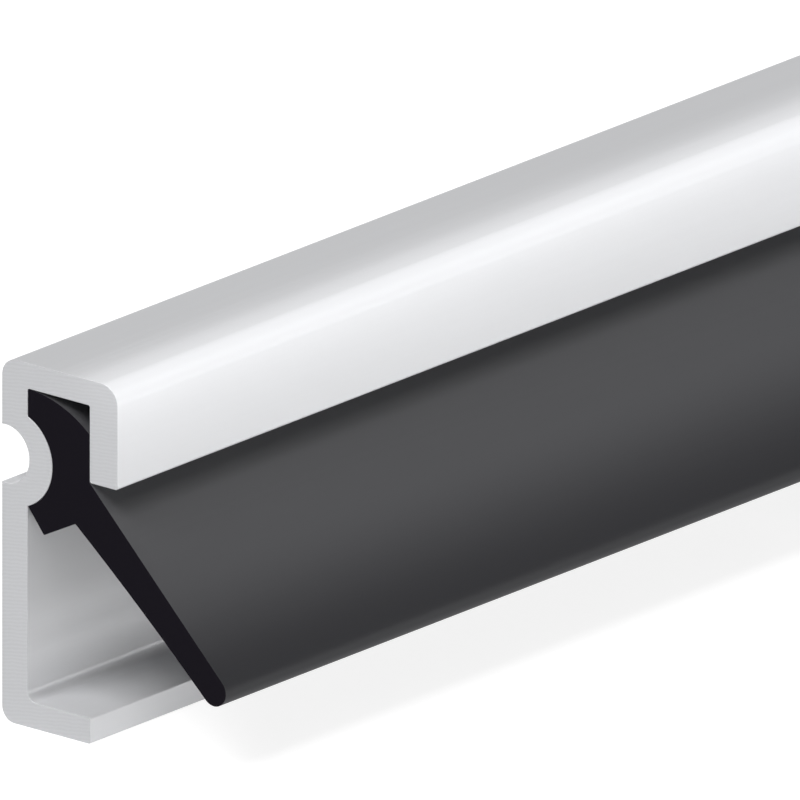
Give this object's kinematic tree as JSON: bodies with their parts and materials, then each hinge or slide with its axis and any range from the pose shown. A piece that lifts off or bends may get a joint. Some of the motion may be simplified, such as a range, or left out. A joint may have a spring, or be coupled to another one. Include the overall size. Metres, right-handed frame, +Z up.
{
  "type": "door draught strip",
  "caption": "Aluminium carrier strip with a slanting rubber lip seal clipped along it, screwed to a door to close the gap against draughts.",
  "frame": {"origin": "on the flat back face, halfway along the strip, at the height of the screw holes' centres", "axes": "X runs along the strip, +Y is the outward normal of the back face that is screwed to the door, +Z is up, and the lip slants down towards -Y"},
  "size_m": [1, 0.0152, 0.02],
  "materials": {
    "anodised_aluminium": "satin silver anodised, with fine lengthwise die lines and sawn ends",
    "seal_rubber": "smooth black rubber skin with a soft sheen, matt cut ends"
  },
  "bodies": {
    "root": {"aluminium_carrier": "anodised_aluminium", "rubber_seal": "seal_rubber"}
  },
  "joints": []
}
